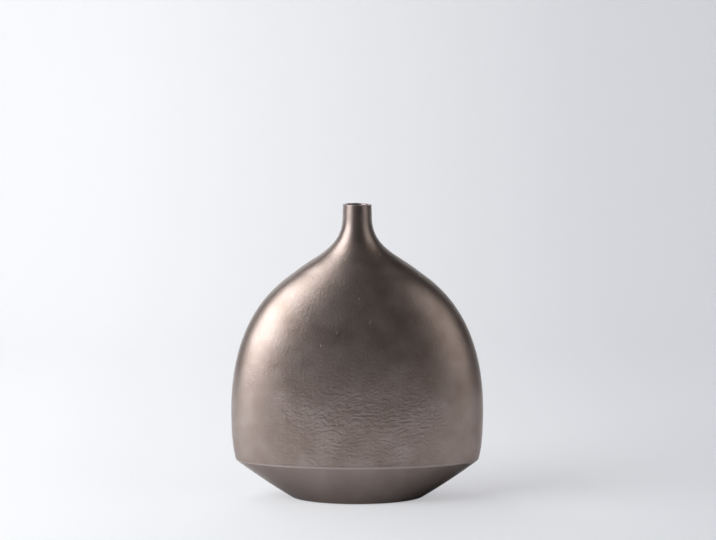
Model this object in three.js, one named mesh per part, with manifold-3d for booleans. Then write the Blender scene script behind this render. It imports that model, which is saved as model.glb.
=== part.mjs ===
// A flat-sided cast aluminium vase: two shouldered half shells, a tapered lower body, a single-stem neck,
// a recessed floor plate and felt pads, held by ground weld beads. Millimetres, +Z up, front towards -Y.
import * as THREE from 'three';
import Module from 'manifold-3d';
import { mergeVertices, toCreasedNormals } from 'three/addons/utils/BufferGeometryUtils.js';

const wasm = await Module();
wasm.setup();

// Each station is an ellipse of the outer skin: half width, half depth, height
const station = (halfWidth, halfDepth, height) => new THREE.Vector3(halfWidth, halfDepth, height);
const FOOT = station(67.3, 40, 0.8);
const CREASE = station(123.9, 48, 38.8);
const WIDEST = station(128.3, 50, 88);
const SHOULDER = station(61.4, 28.5, 232.6);
const NECK = station(14.9, 14.9, 288);
const MOUTH = station(14.5, 14.5, 302);

// Handles of the curves between the stations
const CHAMFER_SWELL = station(1.4, 0.4, -1.4);
const CREASE_HANDLE = station(4, 0.8, 15);
const WIDEST_HANDLE_DOWN = station(0, 0, 16);
const WIDEST_HANDLE_UP = station(0, 0, 103.5);
const SHOULDER_SLOPE = station(-1.29, -0.4, 1);
const SHOULDER_HANDLE_DOWN = 11;
const SHOULDER_HANDLE_UP = 18;
const NECK_HANDLE = station(0, 0, 31.5);
const RUN_ON = 0.5; // how far a skin runs past its end, as a share of its end handle

// Walls, joints and fits
const WALL = 3;
const GAP = 0.3;
const BEAD_DEPTH = 1.5;
const BEAD_HALF_WIDTH = 1;
const LAP_THICKNESS = 1.8;
const LAP_HALF_HEIGHT = 6;
const LAP_LOW = 60;
const LAP_HIGH = 212;
const NECK_JOINT = 262;
const SPIGOT_BELOW = 9;
const SPIGOT_ABOVE = 4;
const LIP_HEIGHT = 8;
const LIP_CLEARANCE = 0.9;
const LIP_THICKNESS = 2.4;
const LIP_ROOT = 5;
const MOUTH_TILT = THREE.MathUtils.degToRad(1.2);
const MOUTH_HEIGHT = 299.7;
const FLOOR_UNDERSIDE = 2;
const FLOOR_THICKNESS = 3;
const FLOOR_BEAD_WIDTH = 1.3;
const PAD_RADIUS = 8;
const PAD_PLACE = new THREE.Vector2(40, 18);

// Fineness of the faces
const AROUND = 48;
const PAD_SIDES = 24;
const FAR = 400; // larger than the vase, for cutting blocks
const CREASE_ANGLE = THREE.MathUtils.degToRad(35);

const sum = (first, second, share = 1) => first.clone().addScaledVector(second, share);

function makePath(...curves) {
  const path = new THREE.CurvePath();
  curves.forEach((curve) => path.add(curve));
  return path;
}

// The chamfered skin of the lower body runs on below the foot and above the crease, to be trimmed level
function makeLowerSkin() {
  const middle = sum(sum(FOOT, CREASE).multiplyScalar(0.5), CHAMFER_SWELL);
  const below = sum(FOOT, sum(FOOT, middle, -1), RUN_ON);
  const above = sum(CREASE, sum(CREASE, middle, -1), RUN_ON);
  return makePath(
    new THREE.LineCurve3(below, FOOT),
    new THREE.QuadraticBezierCurve3(FOOT, middle, CREASE),
    new THREE.LineCurve3(CREASE, above),
  );
}

// The skin of the shells and the neck: upright sides, a long shoulder and a hollow sweep into the neck
function makeUpperSkin() {
  const side = new THREE.CubicBezierCurve3(
    CREASE, sum(CREASE, CREASE_HANDLE), sum(WIDEST, WIDEST_HANDLE_DOWN, -1), WIDEST,
  );
  const shoulder = new THREE.CubicBezierCurve3(
    WIDEST, sum(WIDEST, WIDEST_HANDLE_UP), sum(SHOULDER, SHOULDER_SLOPE, -SHOULDER_HANDLE_DOWN), SHOULDER,
  );
  const sweep = new THREE.CubicBezierCurve3(
    SHOULDER, sum(SHOULDER, SHOULDER_SLOPE, SHOULDER_HANDLE_UP), sum(NECK, NECK_HANDLE, -1), NECK,
  );
  const below = new THREE.LineCurve3(sum(CREASE, CREASE_HANDLE, -RUN_ON), CREASE);
  return makePath(below, side, shoulder, sweep, new THREE.LineCurve3(NECK, MOUTH));
}

// Where along a path, from 0 to 1, its height is the given one
function placeAtHeight(path, height) {
  let low = 0;
  let high = 1;
  for (let halving = 0; halving < 24; halving += 1) {
    const middle = (low + high) / 2;
    if (path.getPointAt(middle).z < height) low = middle;
    else high = middle;
  }
  return low;
}

// One closed loop of points at a depth beneath the skin, measured square to it
function loopBeneath(path, place, depth) {
  const ellipse = path.getPointAt(place);
  const climb = path.getTangentAt(place);
  const loop = [];
  for (let step = 0; step < AROUND; step += 1) {
    const turn = (2 * Math.PI * step) / AROUND;
    const point = new THREE.Vector3(ellipse.x * Math.cos(turn), ellipse.y * Math.sin(turn), ellipse.z);
    const across = new THREE.Vector3(-ellipse.x * Math.sin(turn), ellipse.y * Math.cos(turn), 0);
    const up = new THREE.Vector3(climb.x * Math.cos(turn), climb.y * Math.sin(turn), climb.z);
    const outward = across.cross(up).normalize();
    loop.push(point.addScaledVector(outward, -depth));
  }
  return loop;
}

function toSolid(geometry) {
  const bare = geometry.clone();
  bare.deleteAttribute('normal');
  bare.deleteAttribute('uv');
  const merged = mergeVertices(bare);
  return new wasm.Manifold(new wasm.Mesh({
    numProp: 3,
    vertProperties: new Float32Array(merged.attributes.position.array),
    triVerts: new Uint32Array(merged.index.array),
  }));
}

// A closed band whose loops run up the outer depth and back down the inner one
function layer(path, lowest, highest, rings, outerDepth, innerDepth) {
  const start = placeAtHeight(path, lowest);
  const end = placeAtHeight(path, highest);
  const loops = [];
  for (let ring = 0; ring <= rings; ring += 1) {
    loops.push(loopBeneath(path, THREE.MathUtils.lerp(start, end, ring / rings), outerDepth));
  }
  for (let ring = rings; ring >= 0; ring -= 1) {
    loops.push(loopBeneath(path, THREE.MathUtils.lerp(start, end, ring / rings), innerDepth));
  }
  const indices = [];
  loops.forEach((loop, ring) => {
    const nextRing = (ring + 1) % loops.length;
    for (let step = 0; step < AROUND; step += 1) {
      const nextStep = (step + 1) % AROUND;
      const here = ring * AROUND;
      const there = nextRing * AROUND;
      indices.push(here + step, here + nextStep, there + nextStep);
      indices.push(here + step, there + nextStep, there + step);
    }
  });
  const geometry = new THREE.BufferGeometry().setFromPoints(loops.flat());
  geometry.setIndex(indices);
  return toSolid(geometry);
}

function block(left, right, front, back, bottom, top) {
  const geometry = new THREE.BoxGeometry(right - left, back - front, top - bottom);
  geometry.translate((left + right) / 2, (front + back) / 2, (bottom + top) / 2);
  return toSolid(geometry);
}

const between = (bottom, top) => block(-FAR, FAR, -FAR, FAR, bottom, top);
const nearSplit = (front, back) => block(-FAR, FAR, front, back, -FAR, FAR);

function ovalPrism(halfWidth, halfDepth, bottom, top) {
  const geometry = new THREE.CylinderGeometry(1, 1, top - bottom, AROUND);
  geometry.rotateX(Math.PI / 2);
  geometry.scale(halfWidth, halfDepth, 1);
  geometry.translate(0, 0, (bottom + top) / 2);
  return toSolid(geometry);
}

const lowerSkin = makeLowerSkin();
const upperSkin = makeUpperSkin();
const SHELL_RINGS = 13;
const JOINT_RINGS = 4;
const NECK_RINGS = 9;
const PAN_RINGS = 4;
const skinBottom = CREASE.z - 4;
const shellTop = NECK_JOINT + 5;
const grooveDepth = BEAD_DEPTH + GAP;
const grooveHalfWidth = BEAD_HALF_WIDTH + GAP;
const beadTop = CREASE.z + 2 * BEAD_HALF_WIDTH;

// Grooves that the beads fill, cut from the pieces on both sides
const shellGroove = layer(upperSkin, skinBottom, shellTop, SHELL_RINGS, -1, grooveDepth);
const sideGroove = shellGroove.intersect(nearSplit(-grooveHalfWidth, grooveHalfWidth));
const creaseGroove = shellGroove.intersect(between(CREASE.z - GAP, beadTop + GAP));
const neckGroove = shellGroove.intersect(between(NECK_JOINT - grooveHalfWidth, NECK_JOINT + grooveHalfWidth));

function makeShells() {
  const wall = layer(upperSkin, skinBottom, shellTop, SHELL_RINGS, 0, WALL)
    .intersect(between(CREASE.z + GAP / 2, NECK_JOINT - GAP / 2))
    .subtract(sideGroove)
    .subtract(creaseGroove)
    .subtract(neckGroove);
  const front = wall.intersect(nearSplit(-FAR, -GAP / 2));
  const rear = wall.intersect(nearSplit(GAP / 2, FAR));
  const lapInner = WALL + GAP + LAP_THICKNESS;
  const lapSpan = between(LAP_LOW, LAP_HIGH);
  const lap = layer(upperSkin, skinBottom, shellTop, SHELL_RINGS, WALL + GAP, lapInner)
    .intersect(nearSplit(-LAP_HALF_HEIGHT, LAP_HALF_HEIGHT))
    .intersect(lapSpan);
  const lapRoot = layer(upperSkin, skinBottom, shellTop, SHELL_RINGS, WALL - GAP, lapInner)
    .intersect(nearSplit(GAP / 2, LAP_HALF_HEIGHT))
    .intersect(lapSpan);
  return { front, rear: rear.add(lapRoot).add(lap) };
}

function makeNeck() {
  const spigotInner = WALL + GAP + LAP_THICKNESS;
  const tube = layer(upperSkin, NECK_JOINT - 5, MOUTH.z - 0.5, NECK_RINGS, 0, WALL)
    .intersect(between(NECK_JOINT + GAP / 2, FAR))
    .subtract(neckGroove);
  const spigot = layer(upperSkin, NECK_JOINT - 25, NECK_JOINT + 15, NECK_RINGS, WALL + GAP, spigotInner)
    .intersect(between(NECK_JOINT - SPIGOT_BELOW, NECK_JOINT + SPIGOT_ABOVE));
  const spigotRoot = layer(upperSkin, NECK_JOINT - 5, NECK_JOINT + 15, JOINT_RINGS, WALL - GAP, spigotInner)
    .intersect(between(NECK_JOINT + GAP / 2, NECK_JOINT + SPIGOT_ABOVE));
  const aboveMouth = new THREE.BoxGeometry(FAR, FAR, FAR);
  aboveMouth.translate(0, 0, FAR / 2);
  aboveMouth.rotateY(MOUTH_TILT);
  aboveMouth.translate(0, 0, MOUTH_HEIGHT);
  return tube.add(spigotRoot).add(spigot).subtract(toSolid(aboveMouth));
}

function makeLowerBody() {
  const lipOuter = WALL + LIP_CLEARANCE;
  const lipInner = lipOuter + LIP_THICKNESS;
  const lipBottom = CREASE.z - LIP_ROOT;
  const lipTop = CREASE.z + LIP_HEIGHT;
  const pan = layer(lowerSkin, FOOT.z - 8, CREASE.z + 8, PAN_RINGS, 0, WALL)
    .intersect(between(FOOT.z, CREASE.z - GAP / 2));
  const lip = ovalPrism(CREASE.x - lipOuter, CREASE.y - lipOuter, lipBottom, lipTop)
    .subtract(ovalPrism(CREASE.x - lipInner, CREASE.y - lipInner, lipBottom - 1, lipTop + 1));
  const outside = layer(lowerSkin, FOOT.z - 8, CREASE.z + 8, PAN_RINGS, -30, WALL / 2)
    .intersect(between(lipBottom - 1, CREASE.z));
  return pan.add(lip.subtract(outside));
}

function makeFloor() {
  const bottom = FLOOR_UNDERSIDE;
  const top = FLOOR_UNDERSIDE + FLOOR_THICKNESS;
  const beadInner = WALL + GAP + FLOOR_BEAD_WIDTH;
  const margin = layer(lowerSkin, FOOT.z - 8, CREASE.z, PAN_RINGS, -20, beadInner + GAP);
  const plate = ovalPrism(FOOT.x, FOOT.y, bottom, top).subtract(margin);
  const bead = layer(lowerSkin, FOOT.z - 8, CREASE.z, PAN_RINGS, WALL + GAP, beadInner)
    .intersect(between(bottom + GAP, top - GAP));
  return { plate, bead };
}

const group = new THREE.Group();

function addNode(name, solid, material) {
  const mesh = solid.getMesh();
  const geometry = new THREE.BufferGeometry();
  geometry.setAttribute('position', new THREE.BufferAttribute(new Float32Array(mesh.vertProperties), 3));
  geometry.setIndex(Array.from(mesh.triVerts));
  const node = new THREE.Mesh(toCreasedNormals(geometry, CREASE_ANGLE), material);
  node.name = name;
  group.add(node);
}

const metal = (colour, roughness) => new THREE.MeshStandardMaterial({ color: colour, roughness, metalness: 1 });
const beadLayer = layer(upperSkin, skinBottom, shellTop, SHELL_RINGS, 0, BEAD_DEPTH);
const sideBeads = beadLayer
  .intersect(nearSplit(-BEAD_HALF_WIDTH, BEAD_HALF_WIDTH))
  .intersect(between(beadTop + 2 * GAP, NECK_JOINT - grooveHalfWidth - GAP));
const shells = makeShells();
const floor = makeFloor();

addNode('front_shell', shells.front, metal(0x7a6d65, 0.34));
addNode('rear_shell', shells.rear, metal(0x7a6d65, 0.34));
addNode('neck_tube', makeNeck(), metal(0x7d7068, 0.3));
addNode('lower_body', makeLowerBody(), metal(0x857970, 0.32));
addNode('side_weld_left', sideBeads.intersect(block(-FAR, 0, -FAR, FAR, -FAR, FAR)), metal(0x8f867e, 0.3));
addNode('side_weld_right', sideBeads.intersect(block(0, FAR, -FAR, FAR, -FAR, FAR)), metal(0x8f867e, 0.3));
addNode('crease_weld', beadLayer.intersect(between(CREASE.z + GAP / 2, beadTop)), metal(0x9a8f87, 0.3));
addNode('neck_weld', beadLayer.intersect(between(NECK_JOINT - BEAD_HALF_WIDTH, NECK_JOINT + BEAD_HALF_WIDTH)),
  metal(0x7d7068, 0.3));
addNode('base_plate', floor.plate, metal(0x8a8179, 0.4));
addNode('base_plate_weld', floor.bead, metal(0x8a8179, 0.45));

const felt = new THREE.MeshStandardMaterial({ color: 0x2a2927, roughness: 0.95, metalness: 0 });
for (const [side, x] of [['left', -PAD_PLACE.x], ['right', PAD_PLACE.x]]) {
  for (const [end, y] of [['front', -PAD_PLACE.y], ['rear', PAD_PLACE.y]]) {
    const thickness = FLOOR_UNDERSIDE - GAP;
    const pad = new THREE.CylinderGeometry(PAD_RADIUS, PAD_RADIUS, thickness, PAD_SIDES);
    pad.rotateX(Math.PI / 2);
    const node = new THREE.Mesh(pad, felt);
    node.name = `felt_pad_${end}_${side}`;
    node.position.set(x, y, thickness / 2);
    group.add(node);
  }
}

export default group;
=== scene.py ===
"""A flat-sided cast aluminium vase with a dark bronze satin patina, on a pale sweep.

Metres, +Z up, front at -Y. The vase's skin is a stack of ellipses. Their half width, half depth and
height follow one side line, drawn in millimetres with Bezier curves, and each piece is a closed grid worked
out from a stretch of that line.
"""

import math

import bpy
import numpy as np
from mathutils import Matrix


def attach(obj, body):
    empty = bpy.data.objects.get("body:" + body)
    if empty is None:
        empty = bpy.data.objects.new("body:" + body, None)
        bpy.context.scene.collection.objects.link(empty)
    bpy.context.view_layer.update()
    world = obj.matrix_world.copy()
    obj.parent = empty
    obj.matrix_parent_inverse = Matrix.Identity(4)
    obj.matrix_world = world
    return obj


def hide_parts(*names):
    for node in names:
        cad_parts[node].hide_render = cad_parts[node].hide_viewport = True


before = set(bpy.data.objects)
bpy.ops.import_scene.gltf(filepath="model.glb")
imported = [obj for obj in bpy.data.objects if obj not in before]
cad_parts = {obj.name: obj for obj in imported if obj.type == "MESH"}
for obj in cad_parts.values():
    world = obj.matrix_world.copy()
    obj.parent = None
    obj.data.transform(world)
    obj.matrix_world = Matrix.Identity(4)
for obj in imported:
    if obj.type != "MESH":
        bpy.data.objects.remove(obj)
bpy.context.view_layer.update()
MM = 0.001
SEED = 11
random = np.random.default_rng(SEED)

# Stations of the outer skin: half width, half depth and height, in millimetres
FOOT = np.array([67.3, 40.0, 0.8])
CREASE = np.array([123.9, 48.0, 38.8])
WIDEST = np.array([128.3, 50.0, 88.0])
SHOULDER = np.array([61.4, 28.5, 232.6])
NECK = np.array([14.9, 14.9, 288.0])
MOUTH = np.array([14.5, 14.5, 302.0])

# How the side line bends between them
CHAMFER_SWELL = np.array([1.4, 0.4, -1.4])
CREASE_HANDLE = np.array([4.0, 0.8, 15.0])
WIDEST_HANDLE_DOWN = np.array([0.0, 0.0, 16.0])
WIDEST_HANDLE_UP = np.array([0.0, 0.0, 103.5])
SHOULDER_SLOPE = np.array([-1.29, -0.4, 1.0])
SHOULDER_HANDLE_DOWN = 11
SHOULDER_HANDLE_UP = 18
NECK_HANDLE = np.array([0.0, 0.0, 31.5])

# Walls, joints and edges, in millimetres
WALL = 3.0
SLOPED_WALL = 5.4  # the wall measured level through the sloping chamfer
INSET = 0.08  # how far the dressed skin lies inside the solids' skin
NECK_JOINT = 262.0
CREASE_LAND = 1.1  # height of the rounded land, above and below the crease
CREASE_INSIDE = np.array([SLOPED_WALL, WALL, 2.0])
FOOT_INSIDE = np.array([SLOPED_WALL, WALL, 0.0])
FOOT_SILL = np.array([1.5, 0.2, 2.0])
FOOT_SOLE = np.array([1.0, 0.7, 0.0])
FOOT_ROUND = 0.7
MOUTH_HEIGHT = 299.7
MOUTH_TILT = math.tan(math.radians(1.2))
TILT_REACH = 8  # the mouth's slant starts this far below the neck station
LIP_ROUND = 0.6
SHARP_ANGLE = 50  # degrees between faces, past which an edge is drawn crisp

# Points along the stretches of the side line, and rings and columns of the pieces
SIDE_POINTS = 300
SHOULDER_POINTS = 900
COLLAR_POINTS = 600
NECK_POINTS = 60
CHAMFER_POINTS = 400
TURN_SAMPLES = 2000
WRINKLED_RINGS = 245
PLAIN_RINGS = 56
INNER_RINGS = 16
SHELL_COLUMNS = 310
NECK_RINGS = 90
NECK_COLUMNS = 192
BORE_STEP = 3  # one ring in the bore for so many outside
LIP_POINTS = 13
CHAMFER_RINGS = 60
LAND_RINGS = 12
FOOT_RINGS = 10
LOWER_COLUMNS = 512

# Cast wrinkles of the broad faces, in millimetres
WRINKLE_HEIGHT = 0.27
WRINKLE_OCTAVES = ((0.6, 2.0), (0.4, 1.4))  # weight and height of a ridge
WRINKLE_BENDS = ((1.8, 6.1, 23.0), (1.1, 2.9, -13.0))  # rise of a slow wave, and its scale across and up
WRINKLE_STRETCH = 2.3
WRINKLE_SHARPNESS = 1.9
WRINKLE_START = 2.5  # they reach full depth this far above the land
WRINKLE_THIN = (60.0, 120.0)  # heights between which they lose a first share of their depth
WRINKLE_THIN_SHARE = 0.45
WRINKLE_FADE = (95.0, 178.0)  # heights between which they lose the rest
WRINKLE_EDGE = (0.52, 0.82)  # shares of the half width between which they end
PATCH_LEAST = 0.7
PATCH_RANGE = 0.6
PATCH_SIZE = (24, 17)

# The metal's colours from dark to pale, its roughness and the strength of its stipple
METALS = {
    "bronze_patina": {
        "shades": ((0.235, 0.177, 0.15), (0.275, 0.214, 0.188), (0.32, 0.258, 0.23)),
        "roughness": 0.38,
        "stipple": 0.8,
    },
    "smooth_patina": {
        "shades": ((0.24, 0.185, 0.165), (0.265, 0.208, 0.188), (0.295, 0.236, 0.214)),
        "roughness": 0.35,
        "stipple": 0.35,
    },
    "floor_metal": {
        "shades": ((0.2, 0.18, 0.16), (0.27, 0.24, 0.21), (0.36, 0.33, 0.3)),
        "roughness": 0.42,
        "stipple": 0.6,
    },
}
SHADE_STOPS = (0.3, 0.5, 0.72)
CLOUDS_PER_METRE = 38
CLOUD_DETAIL = 9
CLOUD_SWIRL = 0.3
LACQUER = 0.5
LACQUER_ROUGHNESS = 0.3

# A painted highlight along the crease, in a paler metal colour, in millimetres, uneven sheen, and the stipple
# with its pits
CREASE_HIGHLIGHT_ABOVE = 0.3
CREASE_HIGHLIGHT_CORE = 0.3
CREASE_HIGHLIGHT_REACH = 1.4
CREASE_HIGHLIGHT_METAL = (0.36, 0.3, 0.275)
SHEEN_PER_METRE = 60
SHEEN_DETAIL = 4
SMOOTHER = -0.07
ROUGHER = 0.09
STIPPLE_PER_METRE = 520
STIPPLE_DETAIL = 4
PITS_PER_METRE = 75
PIT_SIZE = 0.09
PIT_DEPTH = -1.5  # beside the stipple, which rises from 0 to 1
BUMP_DISTANCE = 0.00025

# Pressed felt
FELT_ROUGHNESS = 0.95
FIBRES_PER_METRE = 1500
FIBRE_DETAIL = 4
FELT_SHADES = ((0.3, (0.012, 0.011, 0.01)), (0.7, (0.035, 0.033, 0.03)))

# The pale paper: its colour in the light, its painted glow as the camera sees it, brighter at the left and
# darker to the right as the light falls, and the glow's share, which also lightens the shadows on it
PAPER = (0.86, 0.865, 0.88)
PAPER_ROUGHNESS = 0.7
PAPER_LEFT = (0.945, 0.945, 0.96)
PAPER_RIGHT = (0.66, 0.66, 0.7)
PAPER_REACH = (-0.4, 0.4)  # metres across, from the left colour to the right one
PAINTED_CAMERA_GLOW = 0.55

# How the metal sees the paper: painted shade in an oval round the foot, and painted light that lifts it a
# little beyond
FOOT_OVAL = (0.6, 1, 1)
FOOT_OVAL_SHIFT = (-0.02, 0, 0)
FOOT_OVAL_REACH = (0.035, 0.13)
PAINTED_FOOT_SHADE = 0.3
PAINTED_REFLECTED_LIFT = 1.13

# The sweep, in metres
SWEEP_RADIUS = 0.5
SWEEP_FRONT = -0.62
SWEEP_BACK = 1.0
SWEEP_TOP = 2.6
SWEEP_HALF_WIDTH = 2.6
SWEEP_BEND_POINTS = 24

ROOM_COLOUR = (0.9, 0.93, 1.0)
ROOM_GLOW = 0.07

LAMPS = {
    "softbox_left": {
        "place": (-1.68, -0.72, 1.15),
        "target": (0, 0, 0.15),
        "size": (1.6, 2.1),
        "watts": 60,
        "colour": (0.96, 0.985, 1.0),
        "glossy": True,
    },
    "fill_right": {
        "place": (1.6, -0.75, 0.8),
        "target": (0, 0, 0.15),
        "size": (1.2, 1.5),
        "watts": 6,
        "colour": (1.0, 0.96, 0.92),
        "glossy": True,
    },
    "overhead": {
        "place": (-0.9, 0.9, 2.2),
        "target": (-0.3, 0.9, 0),
        "size": (1.8, 1.2),
        "watts": 20,
        "colour": (0.97, 0.98, 1.0),
        "glossy": False,
    },
}

# The camera, in metres and degrees
CAMERA_PLACE = (0.0008, -2.1, 0.4837)
CAMERA_DIP = 6.81
SENSOR_WIDTH = 36
PHOTO_WIDTH = 716  # pixels
FOCAL_PIXELS = 2094.5  # the focal length in the photo's pixels

# The sockets of a Mix node that mixes colours
MIX_FIRST = 6
MIX_SECOND = 7
MIX_RESULT = 2


def smooth_step(low, high, value):
    """0 below low, 1 above high, and between them share squared times three less twice the share."""
    share = np.clip((value - low) / (high - low), 0, 1)
    return share * share * (3 - 2 * share)


def bezier(points, count):
    """The Bezier curve of the control points, as count points.

    Each point is weighed by its binomial number, times the share to the power of its index, times the rest of
    the share to the power of what is left of the degree.
    """
    share = np.linspace(0, 1, count)[:, None]
    degree = len(points) - 1
    curve = 0
    for index, point in enumerate(points):
        curve = curve + math.comb(degree, index) * (1 - share) ** (degree - index) * share**index * point
    return curve


def upper_profile():
    """Stations from the crease up over shoulder and collar to above the mouth, on four joined curves."""
    side = [CREASE, CREASE + CREASE_HANDLE, WIDEST - WIDEST_HANDLE_DOWN, WIDEST]
    under_shoulder = SHOULDER - SHOULDER_SLOPE * SHOULDER_HANDLE_DOWN
    over_shoulder = SHOULDER + SHOULDER_SLOPE * SHOULDER_HANDLE_UP
    shoulder = [WIDEST, WIDEST + WIDEST_HANDLE_UP, under_shoulder, SHOULDER]
    collar = [SHOULDER, over_shoulder, NECK - NECK_HANDLE, NECK]
    return np.vstack([
        bezier(side, SIDE_POINTS)[:-1],
        bezier(shoulder, SHOULDER_POINTS)[:-1],
        bezier(collar, COLLAR_POINTS)[:-1],
        bezier([NECK, MOUTH], NECK_POINTS),
    ])


def lower_profile():
    """Stations from the foot up the chamfer to the crease, on one curve that swells below its chord."""
    middle = (FOOT + CREASE) / 2 + CHAMFER_SWELL
    return bezier([FOOT, middle, CREASE], CHAMFER_POINTS)


def at_heights(profile, heights):
    """The profile's stations at the given heights, straight between its points."""
    return np.stack([np.interp(heights, profile[:, 2], profile[:, k]) for k in range(3)], -1)


def even_heights(profile, low, high, count):
    """Heights that divide the profile's side line into steps of one length between two heights."""
    part = profile[(profile[:, 2] > low) & (profile[:, 2] < high)]
    ends = at_heights(profile, np.array([low, high]))
    line = np.vstack([ends[:1], part, ends[1:]])
    run = np.r_[0, np.cumsum(np.linalg.norm(np.diff(line, axis=0), axis=1))]
    return np.interp(np.linspace(0, run[-1], count), run, line[:, 2])


def even_turns(count):
    """Turns over half a circle that divide the widest ellipse's outline into steps of one length."""
    turns = np.linspace(0, math.pi, TURN_SAMPLES)
    speed = np.hypot(WIDEST[0] * np.sin(turns), WIDEST[1] * np.cos(turns))
    run = np.r_[0, np.cumsum((speed[1:] + speed[:-1]) / 2)]
    return np.interp(np.linspace(0, run[-1], count), run, turns)


def ellipse_grid(stations, turns):
    """Each station's ellipse: x is half width times the turn's cosine, y half depth times its sine."""
    width, depth, height = (stations[:, k][:, None] for k in range(3))
    level = np.broadcast_to(height, (len(stations), len(turns)))
    return np.stack([width * np.cos(turns), depth * np.sin(turns), level], -1)


def grid_normals(points, closed):
    """Outward unit normals of a grid: the step round it crossed with the step up it."""
    if closed:
        around = np.roll(points, -1, 1) - np.roll(points, 1, 1)
    else:
        around = np.gradient(points, axis=1)
    up = np.gradient(points, axis=0)
    normal = np.cross(around, up)
    return normal / np.linalg.norm(normal, axis=-1, keepdims=True)


def closed_skin(stations, turns, depth):
    """The stations' full ellipses, moved inwards along their normals by depth."""
    smooth = ellipse_grid(stations, turns)
    return smooth - grid_normals(smooth, True) * depth


def lattice_noise(across, up):
    """Noise from 0 to 1: random values on a square lattice, blended across each cell by smooth steps."""
    across = across - across.min()
    up = up - up.min()
    column = np.floor(across).astype(int)
    row = np.floor(up).astype(int)
    lattice = random.random((row.max() + 2, column.max() + 2))
    share_across = smooth_step(0, 1, across - column)
    share_up = smooth_step(0, 1, up - row)
    low = lattice[row, column] * (1 - share_across) + lattice[row, column + 1] * share_across
    high = lattice[row + 1, column] * (1 - share_across) + lattice[row + 1, column + 1] * share_across
    return low * (1 - share_up) + high * share_up


def wrinkles(points):
    """Branching ridges from 0 to 1: stretched noise, bent by slow waves, folded about its middle value."""
    across = points[..., 0]
    up = points[..., 2]
    bent = up
    for rise, scale_across, scale_up in WRINKLE_BENDS:
        bent = bent + rise * np.sin(across / scale_across + up / scale_up)
    ridges = 0
    for weight, size in WRINKLE_OCTAVES:
        wave = lattice_noise(across / (size * WRINKLE_STRETCH), bent / size)
        ridges = ridges + weight * (1 - np.abs(2 * wave - 1) * WRINKLE_SHARPNESS)
    patch = PATCH_LEAST + PATCH_RANGE * lattice_noise(across / PATCH_SIZE[0], up / PATCH_SIZE[1])
    return np.clip(ridges * patch, 0, 1)


def wrinkle_depth(points, turns):
    """How far the skin sinks between ridges: one less the ridge, times the height and four fading shares.

    Two shares fall with height, one towards the edge bands, and one towards the land along the crease.
    """
    height = points[..., 2]
    thin = WRINKLE_THIN_SHARE * smooth_step(*WRINKLE_THIN, height)
    fade = (1 - WRINKLE_THIN_SHARE) * smooth_step(*WRINKLE_FADE, height)
    middle = 1 - smooth_step(*WRINKLE_EDGE, np.abs(np.cos(turns)))[None, :]
    land_top = CREASE[2] + CREASE_LAND
    above_land = smooth_step(land_top, land_top + WRINKLE_START, height)
    return (1 - wrinkles(points)) * WRINKLE_HEIGHT * (1 - thin - fade) * middle * above_land


def quads(rows, columns, start=0, closed=False, flip=False):
    """Faces of a grid of vertices, row by row, facing outwards unless flipped."""
    row = np.arange(rows - 1)[:, None]
    column = np.arange(columns if closed else columns - 1)[None, :]
    following = (column + 1) % columns
    corners = [
        row * columns + column,
        row * columns + following,
        (row + 1) * columns + following,
        (row + 1) * columns + column,
    ]
    faces = np.stack(corners, -1).reshape(-1, 4) + start
    return (faces[:, ::-1] if flip else faces).tolist()


def shell_faces(rows, columns, inner_rows):
    """The outer grid's faces, the inner grid's turned inwards, and the rims on all four sides."""
    start = rows * columns
    faces = quads(rows, columns) + quads(inner_rows, columns, start, flip=True)
    column = np.arange(columns - 1)
    last = start - columns
    last_inner = start + (inner_rows - 1) * columns
    bottom = [column + 1, column, start + column, start + column + 1]
    top = [last + column, last + column + 1, last_inner + column + 1, last_inner + column]
    for rim in (bottom, top):
        faces += np.stack(rim, -1).tolist()
    outer_edge = np.arange(rows) * columns
    inner_edge = start + np.arange(inner_rows) * columns
    faces.append(np.r_[outer_edge, inner_edge[::-1]].tolist())
    faces.append((np.r_[outer_edge[::-1], inner_edge] + columns - 1).tolist())
    return faces


def make_piece(name, points, faces, material, nodes):
    """A smooth-shaded mesh, crisp at its rims, that rides on the body and stands for the given CAD nodes."""
    mesh = bpy.data.meshes.new(name)
    mesh.from_pydata((points * MM).tolist(), [], faces)
    mesh.validate()
    mesh.update()
    piece = bpy.data.objects.new(name, mesh)
    bpy.context.scene.collection.objects.link(piece)
    mesh.materials.append(material)
    mesh.polygons.foreach_set("use_smooth", np.ones(len(mesh.polygons), bool))
    mesh.set_sharp_from_angle(angle=math.radians(SHARP_ANGLE))
    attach(piece, "root")
    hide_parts(*nodes)
    return piece


def ring_piece(name, loops, material, nodes):
    """A closed band: each loop of points joins the next, and the last joins the first."""
    rows, columns = loops.shape[:2]
    faces = np.array(quads(rows + 1, columns, closed=True)) % (rows * columns)
    return make_piece(name, loops.reshape(-1, 3), faces.tolist(), material, nodes)


def half_shell(name, side, material, nodes):
    """One cast half: a fine wrinkled outer grid, a coarser inner one at the wall's depth, and four rims.

    A point of the outer grid lies on the ellipse at its row's height and its column's turn, moved inwards
    along the normal by the inset and the wrinkles' depth.
    """
    profile = upper_profile()
    wrinkled = even_heights(profile, CREASE[2] + CREASE_LAND, WRINKLE_FADE[1], WRINKLED_RINGS)
    plain = even_heights(profile, WRINKLE_FADE[1], NECK_JOINT, PLAIN_RINGS)
    heights = np.r_[wrinkled[:-1], plain]
    turns = even_turns(SHELL_COLUMNS) + (0 if side > 0 else math.pi)
    smooth = ellipse_grid(at_heights(profile, heights), turns)
    normals = grid_normals(smooth, False)
    normals[:, [0, -1], 1] = 0
    outer = smooth - normals * INSET
    outer = outer - normals * wrinkle_depth(outer, turns)[..., None]
    picks = np.round(np.linspace(0, len(heights) - 1, INNER_RINGS)).astype(int)
    inner = smooth[picks] - normals[picks] * WALL
    for grid in (outer, inner):
        grid[:, [0, -1], 1] = 0
    points = np.vstack([outer.reshape(-1, 3), inner.reshape(-1, 3)])
    return make_piece(name, points, shell_faces(*outer.shape[:2], INNER_RINGS), material, nodes)


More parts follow.
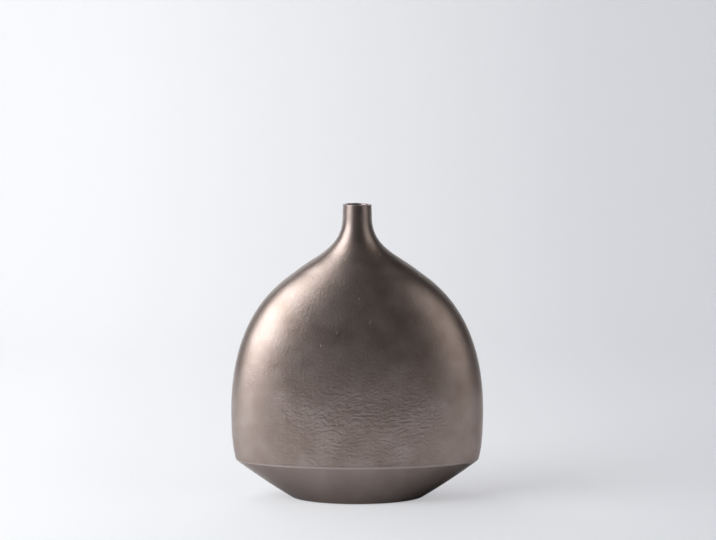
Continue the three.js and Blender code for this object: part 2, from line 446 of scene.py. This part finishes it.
def neck_piece(material):
    """The collar and neck: rings up the outside, half an ellipse over the lip, and rings down the bore.

    Each point near the mouth drops by the tilt times its place across, so that the mouth is cut aslant.
    """
    turns = np.linspace(0, 2 * math.pi, NECK_COLUMNS, endpoint=False)
    profile = upper_profile()
    lip_start = MOUTH_HEIGHT - LIP_ROUND
    stations = at_heights(profile, even_heights(profile, NECK_JOINT, lip_start, NECK_RINGS))
    outer = closed_skin(stations, turns, INSET)
    bore = closed_skin(stations[::BORE_STEP], turns, WALL)
    half_wall = (WALL - INSET) / 2
    angles = np.linspace(0, math.pi, LIP_POINTS)[1:-1]
    lip_radius = MOUTH[0] - INSET - half_wall + half_wall * np.cos(angles)
    lip_height = lip_start + LIP_ROUND * np.sin(angles)
    lip = ellipse_grid(np.stack([lip_radius, lip_radius, lip_height], -1), turns)
    loops = np.concatenate([outer, lip, bore[::-1]])
    near_mouth = smooth_step(NECK[2] - TILT_REACH, lip_start, loops[..., 2])
    loops[..., 2] -= near_mouth * MOUTH_TILT * loops[..., 0]
    return ring_piece("neck_fine", loops, material, ["neck_tube", "neck_weld"])


def lower_piece(material):
    """The smooth tapered pan: a rounded foot edge, a swelling chamfer and a rounded land along the crease.

    Its loops climb from the sole over the foot's edge and the chamfer to the land, and four go back down
    inside.
    """
    turns = np.linspace(0, 2 * math.pi, LOWER_COLUMNS, endpoint=False)
    chamfer_heights = np.linspace(FOOT[2] + FOOT_ROUND, CREASE[2] - CREASE_LAND, CHAMFER_RINGS)
    chamfer = at_heights(lower_profile(), chamfer_heights)
    land_top = at_heights(upper_profile(), np.array([CREASE[2] + CREASE_LAND]))[0]
    land = bezier([chamfer[-1], CREASE, land_top], LAND_RINGS)[1:]
    foot_edge = bezier([FOOT - FOOT_SOLE, FOOT, chamfer[0]], FOOT_RINGS)[:-1]
    skin = closed_skin(np.vstack([foot_edge, chamfer, land]), turns, INSET)
    skin[..., 2] = np.maximum(skin[..., 2], FOOT[2])
    inner_foot = FOOT - FOOT_INSIDE
    inner_crease = CREASE - CREASE_INSIDE
    inner_top = land[-1] - np.array([WALL, WALL, 0.0])
    inside = ellipse_grid(np.array([inner_top, inner_crease, inner_foot + FOOT_SILL, inner_foot]), turns)
    loops = np.concatenate([skin, inside])
    return ring_piece("lower_fine", loops, material, ["lower_body", "crease_weld"])


def new_material(name, roughness):
    """A material, its Principled BSDF, its nodes and links, and the Object coordinates for its patterns."""
    material = bpy.data.materials.new(name)
    material.use_nodes = True
    nodes = material.node_tree.nodes
    principled = nodes["Principled BSDF"]
    principled.inputs["Roughness"].default_value = roughness
    place = nodes.new("ShaderNodeTexCoord").outputs["Object"]
    return material, principled, nodes, material.node_tree.links, place


def new_group(name, entries, result, kind):
    """A node group with named inputs and one named output: its nodes, links and sockets."""
    group = bpy.data.node_groups.new(name, "ShaderNodeTree")
    for label, socket in entries.items():
        group.interface.new_socket(name=label, in_out="INPUT", socket_type=socket)
    group.interface.new_socket(name=result, in_out="OUTPUT", socket_type=kind)
    given = group.nodes.new("NodeGroupInput").outputs
    wanted = group.nodes.new("NodeGroupOutput").inputs[result]
    return group, group.nodes, group.links, given, wanted


def use_group(nodes, links, group, place):
    """A node group placed in a material, reading the material's Object coordinates."""
    node = nodes.new("ShaderNodeGroup")
    node.node_tree = group
    links.new(place, node.inputs["Place"])
    return node


def noise(nodes, links, place, scale, detail, swirl=0.0):
    """Cloudy noise with the given number of patches in a metre."""
    node = nodes.new("ShaderNodeTexNoise")
    node.inputs["Scale"].default_value = scale
    node.inputs["Detail"].default_value = detail
    node.inputs["Distortion"].default_value = swirl
    links.new(place, node.inputs["Vector"])
    return node.outputs["Fac"]


def ramp(nodes, links, source, stops):
    """Colours blended between stops, each a place from 0 to 1 and its colour."""
    node = nodes.new("ShaderNodeValToRGB")
    elements = node.color_ramp.elements
    while len(elements) < len(stops):
        elements.new(1)
    for element, (place, colour) in zip(elements, stops):
        element.position = place
        element.color = (*colour, 1)
    links.new(source, node.inputs["Fac"])
    return node.outputs["Color"]


def calculate(nodes, links, operation, first, second):
    """A sum, difference or other operation on one socket and on another socket or a number."""
    node = nodes.new("ShaderNodeMath")
    node.operation = operation
    links.new(first, node.inputs[0])
    if isinstance(second, bpy.types.NodeSocket):
        links.new(second, node.inputs[1])
    else:
        node.inputs[1].default_value = second
    return node.outputs["Value"]


def span(nodes, links, source, reach, result):
    """A value that runs from result's first number to its second as the source crosses reach."""
    node = nodes.new("ShaderNodeMapRange")
    node.inputs["From Min"].default_value = reach[0]
    node.inputs["From Max"].default_value = reach[1]
    node.inputs["To Min"].default_value = result[0]
    node.inputs["To Max"].default_value = result[1]
    links.new(source, node.inputs["Value"])
    return node.outputs["Result"]


def height_of(nodes, links, place):
    """The Z coordinate of a place."""
    parts = nodes.new("ShaderNodeSeparateXYZ")
    links.new(place, parts.inputs["Vector"])
    return parts.outputs["Z"]


def crease_highlight_group():
    """Painted highlight along the crease, in a paler metal colour: full up to the core's distance from its
    middle, and gone at the reach.
    """
    entries = {"Place": "NodeSocketVector", "Patina": "NodeSocketColor", "Painted Highlight": "NodeSocketColor"}
    group, nodes, links, given, wanted = new_group("crease_painted_highlight", entries, "Color", "NodeSocketColor")
    middle = (CREASE[2] + CREASE_HIGHLIGHT_ABOVE) * MM
    from_middle = calculate(nodes, links, "SUBTRACT", height_of(nodes, links, given["Place"]), middle)
    distance = calculate(nodes, links, "ABSOLUTE", from_middle, 0)
    lit_band = nodes.new("ShaderNodeMix")
    lit_band.data_type = "RGBA"
    links.new(span(nodes, links, distance, (CREASE_HIGHLIGHT_CORE * MM, CREASE_HIGHLIGHT_REACH * MM), (1, 0)), lit_band.inputs["Factor"])
    links.new(given["Patina"], lit_band.inputs[MIX_FIRST])
    links.new(given["Painted Highlight"], lit_band.inputs[MIX_SECOND])
    links.new(lit_band.outputs[MIX_RESULT], wanted)
    return group


def uneven_sheen_group():
    """The given roughness, made a little smoother or rougher by cloudy noise."""
    entries = {"Place": "NodeSocketVector", "Roughness": "NodeSocketFloat"}
    group, nodes, links, given, wanted = new_group("uneven_sheen", entries, "Roughness", "NodeSocketFloat")
    patches = noise(nodes, links, given["Place"], SHEEN_PER_METRE, SHEEN_DETAIL)
    change = span(nodes, links, patches, (0, 1), (SMOOTHER, ROUGHER))
    links.new(calculate(nodes, links, "ADD", given["Roughness"], change), wanted)
    return group


def cast_stipple_group():
    """The height of a cast surface: fine noise, less a pit near the middle of each Voronoi cell."""
    entries = {"Place": "NodeSocketVector"}
    group, nodes, links, given, wanted = new_group("cast_stipple", entries, "Height", "NodeSocketFloat")
    grain = noise(nodes, links, given["Place"], STIPPLE_PER_METRE, STIPPLE_DETAIL)
    cells = nodes.new("ShaderNodeTexVoronoi")
    cells.inputs["Scale"].default_value = PITS_PER_METRE
    links.new(given["Place"], cells.inputs["Vector"])
    pits = span(nodes, links, cells.outputs["Distance"], (0, PIT_SIZE), (PIT_DEPTH, 0))
    links.new(calculate(nodes, links, "ADD", grain, pits), wanted)
    return group


def aged_metal(name, shades, roughness, stipple, groups):
    """Lacquered bronze patina in cloudy shades, with a painted highlight along the crease, uneven sheen,
    stipple and faint pits.
    """
    material, principled, nodes, links, place = new_material(name, roughness)
    principled.inputs["Metallic"].default_value = 1
    principled.inputs["Coat Weight"].default_value = LACQUER
    principled.inputs["Coat Roughness"].default_value = LACQUER_ROUGHNESS
    clouds = noise(nodes, links, place, CLOUDS_PER_METRE, CLOUD_DETAIL, CLOUD_SWIRL)
    # painted highlight: the patina turns to a paler metal colour along the crease
    painted_crease = use_group(nodes, links, groups["painted_crease"], place)
    painted_crease.inputs["Painted Highlight"].default_value = (*CREASE_HIGHLIGHT_METAL, 1)
    links.new(ramp(nodes, links, clouds, list(zip(SHADE_STOPS, shades))), painted_crease.inputs["Patina"])
    links.new(painted_crease.outputs["Color"], principled.inputs["Base Color"])
    sheen = use_group(nodes, links, groups["sheen"], place)
    sheen.inputs["Roughness"].default_value = roughness
    links.new(sheen.outputs["Roughness"], principled.inputs["Roughness"])
    bump = nodes.new("ShaderNodeBump")
    bump.inputs["Strength"].default_value = stipple
    bump.inputs["Distance"].default_value = BUMP_DISTANCE
    links.new(use_group(nodes, links, groups["stipple"], place).outputs["Height"], bump.inputs["Height"])
    links.new(bump.outputs["Normal"], principled.inputs["Normal"])
    return material


def felt_material():
    """Matt dark pressed felt with a fine fibre mottle."""
    material, principled, nodes, links, place = new_material("felt", FELT_ROUGHNESS)
    fibre = noise(nodes, links, place, FIBRES_PER_METRE, FIBRE_DETAIL)
    links.new(ramp(nodes, links, fibre, FELT_SHADES), principled.inputs["Base Color"])
    return material


def painted_paper_reflection(nodes, links, place, glossy_ray):
    """How bright the metal sees the paper: painted shade in an oval round the foot and painted light beyond
    it; else 1.
    """
    oval = nodes.new("ShaderNodeVectorMath")
    oval.operation = "MULTIPLY_ADD"
    oval.inputs[1].default_value = FOOT_OVAL
    oval.inputs[2].default_value = FOOT_OVAL_SHIFT
    links.new(place, oval.inputs[0])
    reach = nodes.new("ShaderNodeVectorMath")
    reach.operation = "LENGTH"
    links.new(oval.outputs["Vector"], reach.inputs[0])
    painted_near_foot = span(nodes, links, reach.outputs["Value"], FOOT_OVAL_REACH, (PAINTED_FOOT_SHADE, PAINTED_REFLECTED_LIFT))
    shade = nodes.new("ShaderNodeMix")
    shade.data_type = "FLOAT"
    shade.inputs["A"].default_value = 1
    links.new(glossy_ray, shade.inputs["Factor"])
    links.new(painted_near_foot, shade.inputs["B"])
    return shade.outputs["Result"]


def painted_paper_glow(nodes, links, place):
    """Painted light: the paper's glow as the camera sees it, from its brighter left colour to its darker
    right one.
    """
    side = nodes.new("ShaderNodeSeparateXYZ")
    links.new(place, side.inputs["Vector"])
    across = span(nodes, links, side.outputs["X"], PAPER_REACH, (0, 1))
    glow = nodes.new("ShaderNodeEmission")
    links.new(ramp(nodes, links, across, [(0, PAPER_LEFT), (1, PAPER_RIGHT)]), glow.inputs["Color"])
    return glow.outputs["Emission"]


def sweep_paper():
    """Pale paper, lifted by painted light towards a glow for the camera, and with painted shade near the foot
    and painted light beyond it in reflections.
    """
    material, principled, nodes, links, place = new_material("sweep_paper", PAPER_ROUGHNESS)
    rays = nodes.new("ShaderNodeLightPath")
    tint = nodes.new("ShaderNodeVectorMath")
    tint.operation = "SCALE"
    tint.inputs[0].default_value = PAPER
    # painted shade round the foot, and painted light beyond it, only as the metal sees the paper
    links.new(painted_paper_reflection(nodes, links, place, rays.outputs["Is Glossy Ray"]), tint.inputs["Scale"])
    links.new(tint.outputs["Vector"], principled.inputs["Base Color"])
    blend = nodes.new("ShaderNodeMixShader")
    # painted light: the camera sees the paper blended towards its glow, brighter at the left, which also
    # lightens its shadows
    painted_lift = calculate(nodes, links, "MULTIPLY", rays.outputs["Is Camera Ray"], PAINTED_CAMERA_GLOW)
    links.new(painted_lift, blend.inputs["Fac"])
    links.new(principled.outputs["BSDF"], blend.inputs[1])
    links.new(painted_paper_glow(nodes, links, place), blend.inputs[2])
    links.new(blend.outputs["Shader"], nodes["Material Output"].inputs["Surface"])
    return material


def make_sweep():
    """A pale table that rises behind the vase into its backdrop: a flat, a quarter circle and an upright."""
    bend = np.linspace(0, math.pi / 2, SWEEP_BEND_POINTS)
    depth = np.r_[SWEEP_FRONT, SWEEP_BACK + SWEEP_RADIUS * np.sin(bend), SWEEP_BACK + SWEEP_RADIUS]
    height = np.r_[0, SWEEP_RADIUS * (1 - np.cos(bend)), SWEEP_TOP]
    width = np.array([-SWEEP_HALF_WIDTH, SWEEP_HALF_WIDTH])
    rows = len(depth)
    points = np.stack(np.broadcast_arrays(width, depth[:, None], height[:, None]), -1).reshape(-1, 3)
    mesh = bpy.data.meshes.new("sweep")
    mesh.from_pydata(points.tolist(), [], quads(rows, len(width)))
    mesh.polygons.foreach_set("use_smooth", np.ones(rows - 1, bool))
    mesh.materials.append(sweep_paper())
    sweep = bpy.data.objects.new("sweep", mesh)
    bpy.context.scene.collection.objects.link(sweep)


def area_light(name, place, target, size, watts, colour, glossy):
    """A rectangular lamp at its place, turned to face its target."""
    data = bpy.data.lights.new(name, "AREA")
    data.shape = "RECTANGLE"
    data.size = size[0]
    data.size_y = size[1]
    data.energy = watts
    data.color = colour
    light = bpy.data.objects.new(name, data)
    bpy.context.scene.collection.objects.link(light)
    direction = np.array(target, float) - np.array(place, float)
    lean = math.acos(-direction[2] / np.linalg.norm(direction))
    swing = math.atan2(direction[1], direction[0]) - math.pi / 2
    light.location = place
    light.rotation_euler = (lean, 0, swing)
    light.visible_glossy = glossy


def make_camera():
    """The photo's camera: in front of the vase, above its shoulder and dipped a little."""
    data = bpy.data.cameras.new("camera")
    data.sensor_width = SENSOR_WIDTH
    data.lens = SENSOR_WIDTH * FOCAL_PIXELS / PHOTO_WIDTH
    camera = bpy.data.objects.new("camera", data)
    bpy.context.scene.collection.objects.link(camera)
    bpy.context.scene.camera = camera
    camera.location = CAMERA_PLACE
    camera.rotation_euler = (math.radians(90 - CAMERA_DIP), 0, 0)


def make_world():
    """A dim room, which the camera sees in the paper's right colour."""
    world = bpy.data.worlds.new("room")
    bpy.context.scene.world = world
    world.use_nodes = True
    nodes = world.node_tree.nodes
    links = world.node_tree.links
    dim = nodes["Background"]
    dim.inputs["Color"].default_value = (*ROOM_COLOUR, 1)
    dim.inputs["Strength"].default_value = ROOM_GLOW
    seen = nodes.new("ShaderNodeBackground")
    seen.inputs["Color"].default_value = (*PAPER_RIGHT, 1)
    choose = nodes.new("ShaderNodeMixShader")
    links.new(nodes.new("ShaderNodeLightPath").outputs["Is Camera Ray"], choose.inputs["Fac"])
    links.new(dim.outputs["Background"], choose.inputs[1])
    links.new(seen.outputs["Background"], choose.inputs[2])
    links.new(choose.outputs["Shader"], nodes["World Output"].inputs["Surface"])


def dress_cad_nodes(prefix, material):
    """Gives the CAD nodes whose names start with the prefix their material."""
    for name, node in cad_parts.items():
        if name.startswith(prefix):
            node.data.materials.clear()
            node.data.materials.append(material)


finish_groups = {
    "painted_crease": crease_highlight_group(),
    "sheen": uneven_sheen_group(),
    "stipple": cast_stipple_group(),
}
metals = {name: aged_metal(name, groups=finish_groups, **values) for name, values in METALS.items()}

front_nodes = ["front_shell", "side_weld_left", "side_weld_right"]
half_shell("front_shell_fine", -1, metals["bronze_patina"], front_nodes)
half_shell("rear_shell_fine", 1, metals["bronze_patina"], ["rear_shell"])
neck_piece(metals["smooth_patina"])
lower_piece(metals["smooth_patina"])
dress_cad_nodes("felt_pad", felt_material())
dress_cad_nodes("base_plate", metals["floor_metal"])

make_sweep()
make_camera()
make_world()
for lamp_name, lamp in LAMPS.items():
    area_light(lamp_name, **lamp)
bpy.context.scene.view_settings.view_transform = "Standard"
